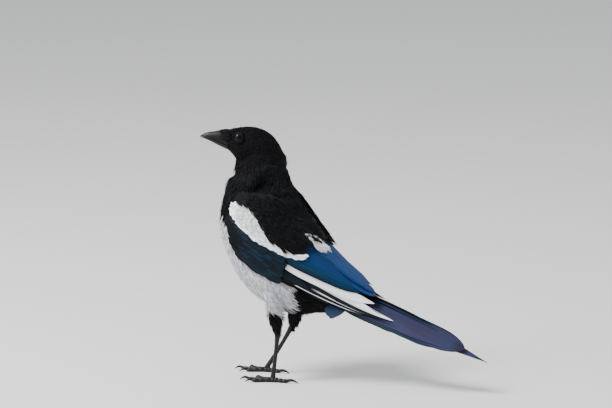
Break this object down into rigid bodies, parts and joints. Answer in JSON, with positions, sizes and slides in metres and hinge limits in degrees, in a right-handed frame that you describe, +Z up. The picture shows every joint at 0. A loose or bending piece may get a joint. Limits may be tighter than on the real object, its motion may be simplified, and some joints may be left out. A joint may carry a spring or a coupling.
{
  "type": "eurasian magpie model",
  "caption": "Life-size still model of a black-and-white songbird with a long graduated tail, standing and looking aside.",
  "frame": {"origin": "on the ground under the middle of the whole bird's box", "axes": "+Z up, the bill points to -Y and the tail to +Y, the bird's left side is +X"},
  "size_m": [0.092, 0.2822, 0.2364],
  "materials": {
    "black_plumage": "satin",
    "belly_plumage": "matte",
    "wing_plumage": "satin",
    "tail_plumage": "satin",
    "bill_horn": "gloss",
    "claw_horn": "gloss",
    "leg_scale": "satin",
    "eye_gloss": "gloss"
  },
  "bodies": {
    "root": {"head": "black_plumage", "bill_upper": "bill_horn", "bill_lower": "bill_horn", "eye_left": "eye_gloss", "eye_right": "eye_gloss", "neck": "black_plumage", "torso": "belly_plumage", "wing_left": "wing_plumage", "wing_right": "wing_plumage", "tail": "tail_plumage", "thigh_left": "black_plumage", "foot_left": "leg_scale", "claw_left_hind": "claw_horn", "claw_left_inner": "claw_horn", "claw_left_middle": "claw_horn", "claw_left_outer": "claw_horn", "thigh_right": "black_plumage", "foot_right": "leg_scale", "claw_right_hind": "claw_horn", "claw_right_inner": "claw_horn", "claw_right_middle": "claw_horn", "claw_right_outer": "claw_horn"}
  },
  "joints": []
}
